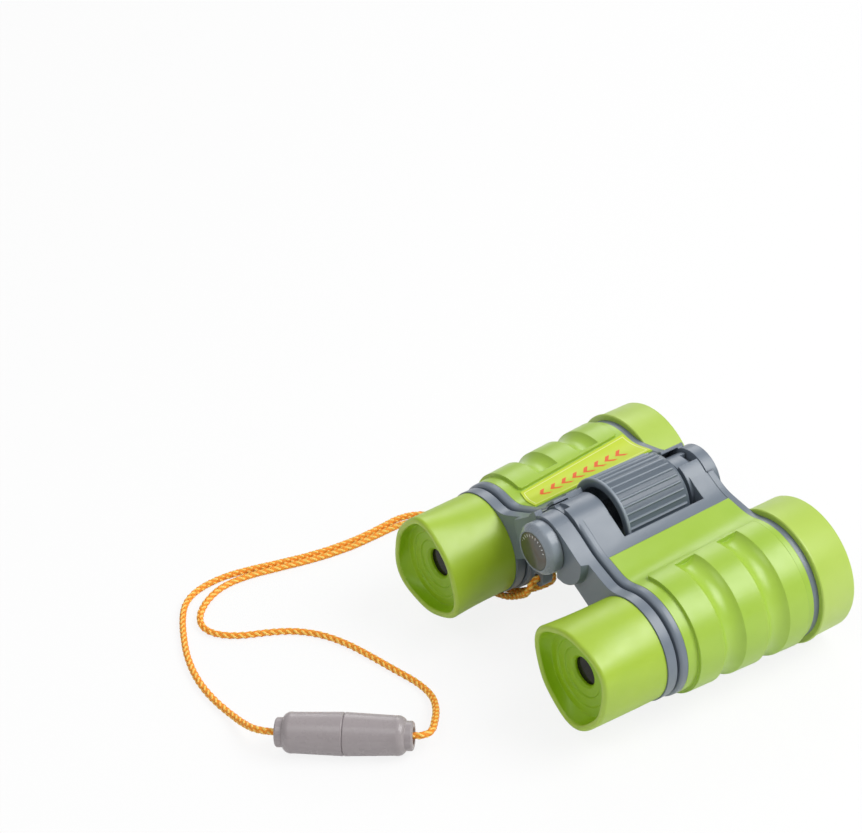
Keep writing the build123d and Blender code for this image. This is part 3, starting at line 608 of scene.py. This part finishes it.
dress(lens_glass, "left_objective_lens", "right_objective_lens")
dress(eye_glass, "left_ocular_lens", "right_ocular_lens")
dress(
    black_plastic,
    "left_lens_retainer",
    "right_lens_retainer",
    "left_eyepiece_tube",
    "right_eyepiece_tube",
)
dress(turned_steel, "hinge_sleeve", "focus_spindle")
print("lenses, rings, tubes and hinge steel have their finishes")

# %% [markdown]
# ## The braided neck cord
# The cord is one length of round braid through the lug under the left barrel, drawn as
# its two branches. Each branch follows a smooth curve with the route's points as its
# control points. Round a plain core, three strands wind each way along that curve, over
# one and under the next, which gives the lozenges that a real braid shows.

# %% The two routes
route_a = (
    (-0.0139, -0.01535, 0.0162),
    (-0.0139, -0.01185, 0.0162),
    (-0.0147, -0.0105, 0.0118),
    (-0.0196, -0.0132, 0.0079),
    (-0.0252, -0.01505, 0.0044),
    (-0.0316, -0.0162, 0.0023),
    (-0.0385, -0.0166, 0.0013),
    (-0.0480, -0.0166, 0.00112),
    (-0.0600, -0.0134, 0.0011),
    (-0.0710, -0.0082, 0.0011),
    (-0.0800, -0.0084, 0.0011),
    (-0.0846, -0.0160, 0.0011),
    (-0.0835, -0.0260, 0.0011),
    (-0.0832, -0.0360, 0.0011),
    (-0.0848, -0.0480, 0.0011),
    (-0.0882, -0.0595, 0.0011),
    (-0.0917, -0.0700, 0.0011),
    (-0.0930, -0.0785, 0.0011),
    (-0.0919, -0.0863, 0.0011),
    (-0.0886, -0.0920, 0.0011),
    (-0.0826, -0.0966, 0.0011),
    (-0.0750, -0.1008, 0.0011),
    (-0.0657, -0.1053, 0.0011),
    (-0.0549, -0.1087, 0.0011),
    (-0.0441, -0.1101, 0.0011),
    (-0.0346, -0.1100, 0.0014),
    (-0.0270, -0.1104, 0.0029),
    (-0.0208, -0.1107, 0.0049),
    (-0.01575, -0.10888, 0.0060),
    (-0.01271, -0.10556, 0.0060),
)
route_b = (
    (-0.0139, -0.01535, 0.0162),
    (-0.0139, -0.01885, 0.0162),
    (-0.0147, -0.0202, 0.0118),
    (-0.0196, -0.01905, 0.0079),
    (-0.0252, -0.01935, 0.0044),
    (-0.0316, -0.0195, 0.0023),
    (-0.0385, -0.0199, 0.0013),
    (-0.0480, -0.0202, 0.0011),
    (-0.0595, -0.0169, 0.0011),
    (-0.0700, -0.0117, 0.0011),
    (-0.0776, -0.0120, 0.0011),
    (-0.0812, -0.0180, 0.0011),
    (-0.0809, -0.0270, 0.0011),
    (-0.0806, -0.0370, 0.0011),
    (-0.0823, -0.0486, 0.0011),
    (-0.0856, -0.0603, 0.0011),
    (-0.0886, -0.0706, 0.0011),
    (-0.0888, -0.0790, 0.0011),
    (-0.0856, -0.0864, 0.0011),
    (-0.0804, -0.0922, 0.0011),
    (-0.0746, -0.0946, 0.0011),
    (-0.0688, -0.0929, 0.0011),
    (-0.0640, -0.0879, 0.0011),
    (-0.0604, -0.0809, 0.0011),
    (-0.0560, -0.0745, 0.0011),
    (-0.0495, -0.0695, 0.0011),
    (-0.0410, -0.0662, 0.0011),
    (-0.0310, -0.0643, 0.0011),
    (-0.0214, -0.0628, 0.0011),
    (-0.0126, -0.0612, 0.0011),
    (-0.0046, -0.0619, 0.0015),
    (0.0026, -0.0657, 0.0029),
    (0.0089, -0.0709, 0.0047),
    (0.0125, -0.0743, 0.0056),
    (0.0126, -0.07789, 0.0060),
    (0.00956, -0.08121, 0.0060),
)
cord_diameter = 0.0021
print("route points", len(route_a), "and", len(route_b))


# %% Smooth line in even steps
def route_line(name, route):
    """Points read from the smooth NURBS line through a route."""
    curve = bpy.data.curves.new(name, "CURVE")
    curve.dimensions = "3D"
    spline = curve.splines.new("NURBS")
    spline.points.add(len(route) - 1)
    for point, spot in zip(spline.points, route):
        point.co = (*spot, 1)
    spline.order_u = 3
    spline.use_endpoint_u = True
    spline.resolution_u = 24
    holder = bpy.data.objects.new(name, curve)
    bpy.context.scene.collection.objects.link(holder)
    bpy.context.view_layer.update()
    line = bpy.data.meshes.new_from_object(holder)
    points = [vertex.co.copy() for vertex in line.vertices]
    bpy.data.objects.remove(holder)
    bpy.data.meshes.remove(line)
    return points


def even_points(points, step):
    """The same line as points in even steps, and its length."""
    marks, total = [0.0], 0.0
    for first, second in zip(points, points[1:]):
        total += (second - first).length
        marks.append(total)
    count = max(2, round(total / step))
    spots, part = [], 0
    for number in range(count + 1):
        wanted = total * number / count
        while part < len(points) - 2 and marks[part + 1] < wanted:
            part += 1
        span = marks[part + 1] - marks[part]
        share = (wanted - marks[part]) / span if span else 0
        spots.append(points[part].lerp(points[part + 1], share))
    return spots, total


def sideways(spots):
    """Each spot with two directions square to the line there, with no sudden twist."""
    side = Vector((0, 0, 1)).cross(spots[1] - spots[0]).normalized()
    frames = []
    for number, spot in enumerate(spots):
        ahead = spots[min(number + 1, len(spots) - 1)] - spots[max(number - 1, 0)]
        ahead.normalize()
        side = (side - side.dot(ahead) * ahead).normalized()
        frames.append((spot, side.copy(), ahead.cross(side)))
    return frames


for name, route in (("first", route_a), ("second", route_b)):
    print(name, "branch", round(even_points(route_line(name, route), 0.001)[1], 4), "m")

# %% Core and strands
strands_each_way = 3
braid_pitch = 0.0069
strand_radius = 0.00040
core_radius = 0.00084
weave_height = 0.00008
weave_room = 0.00006
braid_step = 0.00024


def braid(name, route, materials):
    """Core and braided strands along a route, as one mesh."""
    spots, total = even_points(route_line(name + "_line", route), braid_step)
    frames = sideways(spots)
    curve = bpy.data.curves.new(name, "CURVE")
    curve.dimensions = "3D"
    curve.bevel_depth = strand_radius
    curve.bevel_resolution = 1
    curve.use_fill_caps = True
    for material in materials:
        curve.materials.append(material)
    crossing = braid_pitch / (2 * strands_each_way)
    middle_radius = cord_diameter / 2 - strand_radius - weave_room
    for way in (0, 1, -1):
        for strand in range(strands_each_way if way else 1):
            spline = curve.splines.new("POLY")
            spline.material_index = way
            spline.points.add(len(frames) - 1)
            for number, (spot, first, second) in enumerate(frames):
                along = total * number / (len(frames) - 1)
                turn = strand / strands_each_way + way * along / braid_pitch
                angle = 2 * math.pi * turn
                lift = way * weave_height * math.cos(math.pi * along / crossing)
                reach = abs(way) * middle_radius + lift
                centre = spot + reach * (math.cos(angle) * first + math.sin(angle) * second)
                spline.points[number].co = (*centre, 1)
                spline.points[number].radius = 1 if way else core_radius / strand_radius
    holder = bpy.data.objects.new(name + "_strands", curve)
    bpy.context.scene.collection.objects.link(holder)
    bpy.context.view_layer.update()
    mesh = bpy.data.meshes.new_from_object(holder)
    bpy.data.objects.remove(holder)
    mesh.name = name
    for face in mesh.polygons:
        face.use_smooth = True
    made = bpy.data.objects.new(name, mesh)
    bpy.context.scene.collection.objects.link(made)
    return made, spots, total


print("strands", 2 * strands_each_way, "lozenges every", braid_pitch / strands_each_way)


# %% Cord materials
def fibre_material(name, base, pale, roughness):
    """Bundle of bright filaments, a little uneven in colour."""
    filament_scale, fuzz_scale = 1500, 5000
    fuzz_height = 0.00003
    made, tree, shader, where = empty_material(name, base, roughness)
    filaments = noise(tree, where, filament_scale, 3, 0.7)
    tree.links.new(mix_colour(tree, filaments, base, pale), shader.inputs["Base Color"])
    relief = tree.nodes.new("ShaderNodeBump")
    relief.inputs["Distance"].default_value = fuzz_height
    tree.links.new(noise(tree, where, fuzz_scale, 2), relief.inputs["Height"])
    tree.links.new(relief.outputs["Normal"], shader.inputs["Normal"])
    return made


# The strands winding one way are paler: a painted highlight on one arm of each V. The
# core's deeper orange is painted shade in the gaps between the strands.
cord_materials = (
    fibre_material("cord_core", colour(244, 138, 20), colour(250, 160, 36), 0.6),
    fibre_material("cord_painted_highlight", colour(255, 200, 76), colour(255, 218, 120), 0.34),
    fibre_material("cord_orange", colour(255, 160, 24), colour(255, 184, 52), 0.36),
)
print("cord materials", [material.name for material in cord_materials])

# %% The two branches
for name, node, route, clasp in (
    ("cord_branch_a", "neck_cord_a", route_a, "clasp_socket"),
    ("cord_branch_b", "neck_cord_b", route_b, "clasp_plug"),
):
    cord, spots, total = braid(name, route, cord_materials)
    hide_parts(node)
    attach(cord, "left_barrel")
    print(name, "length", round(total, 4), "triangles", 2 * len(cord.data.polygons))

# %% [markdown]
# ## The label beside the wheel
# A thin printed film lies in the shallow valley of the left armour, in a four-sided
# outline. The film here is generic: a lime ground with a pale thin line round it, and a
# run of plain orange chevrons. The outline's corners are read from the film itself, and
# the shader works out how far each point is from the nearest side.

# %% Corners of the film
label_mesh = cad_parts["label_plate"].data
label_corners = []
for toward_x, toward_y in ((1, -1), (1, 1), (-1, 1), (-1, -1)):
    corner = max(
        (vertex.co for vertex in label_mesh.vertices),
        key=lambda spot: toward_x * spot.x + toward_y * spot.y,
    )
    label_corners.append(Vector((corner.x, corner.y, 0)))
label_middle = sum(label_corners, Vector()) / 4
print("label corners", [tuple(round(1000 * v, 1) for v in c[:2]) for c in label_corners])

# %% Label film
label_film, label_tree, label_shader, label_where = empty_material(
    "label_film", colour(196, 214, 60), 0.42
)
film_gloss = 0.3
label_shader.inputs["Specular IOR Level"].default_value = film_gloss


def above_line(tree, where, start, inward):
    """Distance of a point from a line, on the side that inward points to."""
    moved = tree.nodes.new("ShaderNodeVectorMath")
    moved.operation = "SUBTRACT"
    tree.links.new(where, moved.inputs[0])
    moved.inputs[1].default_value = start
    measured = tree.nodes.new("ShaderNodeVectorMath")
    measured.operation = "DOT_PRODUCT"
    tree.links.new(moved.outputs["Vector"], measured.inputs[0])
    measured.inputs[1].default_value = inward
    return measured.outputs["Value"]


edge_near = None
for start, end in zip(label_corners, label_corners[1:] + label_corners[:1]):
    run = (end - start).normalized()
    inward = Vector((-run.y, run.x, 0))
    if inward.dot(label_middle - start) < 0:
        inward = -inward
    reach = above_line(label_tree, label_where, start, inward)
    if edge_near is None:
        edge_near = reach
    else:
        edge_near = math_node(label_tree, "MINIMUM", edge_near, reach)
print("label film", label_film.name, "knows its", len(label_corners), "sides")

# %% What is printed on the film
border_inset, border_width = 0.00075, 0.00023
chevron_pitch = 0.0040
chevron_slant = 0.9
stroke_share = 0.36
chevron_half_width = 0.0021
run_half_length = 0.0156
film_cloud_scale = 200
in_border = math_node(
    label_tree,
    "MULTIPLY",
    math_node(label_tree, "GREATER_THAN", edge_near, border_inset),
    math_node(label_tree, "LESS_THAN", edge_near, border_inset + border_width),
)
from_middle = above_line(label_tree, label_where, label_middle, Vector((1, 0, 0)))
across = math_node(label_tree, "ABSOLUTE", from_middle)
lengthwise = above_line(label_tree, label_where, label_middle, Vector((0, 1, 0)))
slanted = math_node(
    label_tree,
    "SUBTRACT",
    lengthwise,
    math_node(label_tree, "MULTIPLY", across, chevron_slant),
)
always_positive = math_node(label_tree, "ADD", slanted, 1.0)
phase = math_node(
    label_tree, "FRACT", math_node(label_tree, "DIVIDE", always_positive, chevron_pitch)
)
in_stroke = math_node(label_tree, "LESS_THAN", phase, stroke_share)
in_band = math_node(label_tree, "LESS_THAN", across, chevron_half_width)
in_run = math_node(
    label_tree, "LESS_THAN", math_node(label_tree, "ABSOLUTE", lengthwise), run_half_length
)
chevrons = math_node(
    label_tree, "MULTIPLY", math_node(label_tree, "MULTIPLY", in_stroke, in_band), in_run
)
film_cloud = noise(label_tree, label_where, film_cloud_scale, 2)
ground = mix_colour(label_tree, film_cloud, colour(190, 210, 52), colour(200, 218, 66))
bordered = mix_colour(label_tree, in_border, ground, colour(226, 234, 160))
printed = mix_colour(label_tree, chevrons, bordered, colour(228, 92, 26))
label_tree.links.new(printed, label_shader.inputs["Base Color"])
softened("label_plate", "left_barrel", label_film, 0.0)
print("label dressed")

# %% [markdown]
# ## The disc in the end cap
# It is a dark glossy disc, with fine pale index ticks near the upper part of its edge. The
# ticks come from the angle round the disc's middle, kept only inside a narrow ring.

# %% Glossy disc with ticks
disc_low, disc_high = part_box("cap_disc")
disc_centre = (disc_low + disc_high) / 2
disc_radius = (disc_high.x - disc_low.x) / 2
disc_gloss, disc_tree, disc_shader, disc_where = empty_material(
    "disc_gloss", colour(44, 46, 36), 0.30
)
ticks_round = 24
tick_share = 0.22
ring_inside, ring_outside = 0.74 * disc_radius, 0.88 * disc_radius
lowest_tick = 0.0012
disc_cloud_scale = 220
disc_x, disc_z, disc_reach, _ = around_axis(disc_tree, disc_where, disc_centre)
disc_angle = math_node(disc_tree, "ARCTAN2", disc_z, disc_x)
turns = math_node(
    disc_tree,
    "MULTIPLY",
    math_node(disc_tree, "ADD", disc_angle, math.pi),
    ticks_round / (2 * math.pi),
)
tick = math_node(disc_tree, "LESS_THAN", math_node(disc_tree, "FRACT", turns), tick_share)
ring_low = math_node(disc_tree, "GREATER_THAN", disc_reach, ring_inside)
ring_high = math_node(disc_tree, "LESS_THAN", disc_reach, ring_outside)
in_upper = math_node(disc_tree, "GREATER_THAN", disc_z, lowest_tick)
ticks = math_node(
    disc_tree,
    "MULTIPLY",
    math_node(disc_tree, "MULTIPLY", tick, in_upper),
    math_node(disc_tree, "MULTIPLY", ring_low, ring_high),
)
disc_cloud = noise(disc_tree, disc_where, disc_cloud_scale, 2)
disc_tint = mix_colour(disc_tree, disc_cloud, colour(34, 37, 26), colour(62, 58, 54))
disc_tree.links.new(
    mix_colour(disc_tree, ticks, disc_tint, colour(212, 214, 216)),
    disc_shader.inputs["Base Color"],
)
disc_shader.inputs["Coat Weight"].default_value = 0.6
disc_shader.inputs["Coat Roughness"].default_value = 0.12
softened("cap_disc", "left_eyepiece", disc_gloss, 0.0)
print("disc radius", round(disc_radius * 1000, 2), "mm")

# %% [markdown]
# ## Floor and light
# A pale floor keeps the soft contact shadow. To the camera it is mostly clear, so that
# the white world shows through it and the pair seems to stand on nothing. From below it
# is wholly clear, so a barrel that a fold swings under it is still lit and seen. One
# wide soft key lamp, two weaker ones and an even world give satin highlights.


# %% The floor's shader
def mostly_clear(tree, shader_socket, clear_share, mirror_share):
    """The floor's shader, mostly clear to the camera, and pale in reflections."""
    path = tree.nodes.new("ShaderNodeLightPath")
    white = tree.nodes.new("ShaderNodeEmission")
    white.inputs["Strength"].default_value = 1.0
    pale = tree.nodes.new("ShaderNodeMixShader")
    tree.links.new(
        math_node(tree, "MULTIPLY", path.outputs["Is Glossy Ray"], mirror_share),
        pale.inputs[0],
    )
    tree.links.new(shader_socket, pale.inputs[1])
    tree.links.new(white.outputs[0], pale.inputs[2])
    looked_at = math_node(
        tree, "MAXIMUM", path.outputs["Is Camera Ray"], path.outputs["Is Transmission Ray"]
    )
    from_below = tree.nodes.new("ShaderNodeNewGeometry").outputs["Backfacing"]
    unseen = math_node(
        tree, "MAXIMUM", math_node(tree, "MULTIPLY", looked_at, clear_share), from_below
    )
    clear = tree.nodes.new("ShaderNodeBsdfTransparent")
    mixed = tree.nodes.new("ShaderNodeMixShader")
    tree.links.new(unseen, mixed.inputs[0])
    tree.links.new(pale.outputs[0], mixed.inputs[1])
    tree.links.new(clear.outputs[0], mixed.inputs[2])
    return mixed.outputs[0]


floor_clear_share, floor_mirror_share = 0.86, 0.35
floor_paper, floor_tree, floor_shader, _ = empty_material(
    "floor_paper", (0.9, 0.9, 0.9, 1), 0.9
)
floor_shader.inputs["Specular IOR Level"].default_value = 0.0
floor_tree.links.new(
    mostly_clear(
        floor_tree, floor_shader.outputs[0], floor_clear_share, floor_mirror_share
    ),
    floor_tree.nodes["Material Output"].inputs["Surface"],
)
print("floor paper lets", floor_clear_share, "of the world through")

# %% Floor
floor_half_width = 3.0
floor_mesh = bpy.data.meshes.new("floor")
floor_shape = bmesh.new()
bmesh.ops.create_grid(floor_shape, x_segments=1, y_segments=1, size=floor_half_width)
floor_shape.to_mesh(floor_mesh)
floor_shape.free()
floor = bpy.data.objects.new("floor", floor_mesh)
bpy.context.scene.collection.objects.link(floor)
floor_mesh.materials.append(floor_paper)
print("floor", 2 * floor_half_width, "m wide")

# %% World
sky_strength, seen_strength = 0.40, 1.0
white = (1, 1, 1, 1)
world = bpy.data.worlds.new("studio")
bpy.context.scene.world = world
world.use_nodes = True
world_tree = world.node_tree
sky = world_tree.nodes["Background"]
seen = world_tree.nodes.new("ShaderNodeBackground")
for background, strength in ((sky, sky_strength), (seen, seen_strength)):
    background.inputs["Color"].default_value = white
    background.inputs["Strength"].default_value = strength
sky_path = world_tree.nodes.new("ShaderNodeLightPath")
world_mix = world_tree.nodes.new("ShaderNodeMixShader")
world_tree.links.new(sky_path.outputs["Is Camera Ray"], world_mix.inputs[0])
world_tree.links.new(sky.outputs[0], world_mix.inputs[1])
world_tree.links.new(seen.outputs[0], world_mix.inputs[2])
world_tree.links.new(world_mix.outputs[0], world_tree.nodes["World Output"].inputs[0])
print("world lights at", sky_strength, "and is seen at", seen_strength)


# %% Lamps
def soft_lamp(name, spot, size, power):
    """Square area lamp that looks at the middle of the pair."""
    target = Vector((0, 0, 0.02))
    lamp = bpy.data.lights.new(name, "AREA")
    lamp.shape = "SQUARE"
    lamp.size = size
    lamp.energy = power
    made = bpy.data.objects.new(name, lamp)
    made.location = spot
    made.rotation_mode = "QUATERNION"
    made.rotation_quaternion = (target - Vector(spot)).to_track_quat("-Z", "Y")
    bpy.context.scene.collection.objects.link(made)
    return made


key_lamp = soft_lamp("key_lamp", (0.50, 0.48, 0.85), 0.75, 9.2)
back_lamp = soft_lamp("back_lamp", (-0.75, 0.62, 0.62), 0.5, 2.2)
front_lamp = soft_lamp("front_lamp", (0.15, -0.60, 0.95), 0.5, 1.6)
bpy.context.scene.view_settings.view_transform = "Standard"
print("lamps", [lamp.name for lamp in (key_lamp, back_lamp, front_lamp)])

# %% The end
bpy.context.view_layer.update()
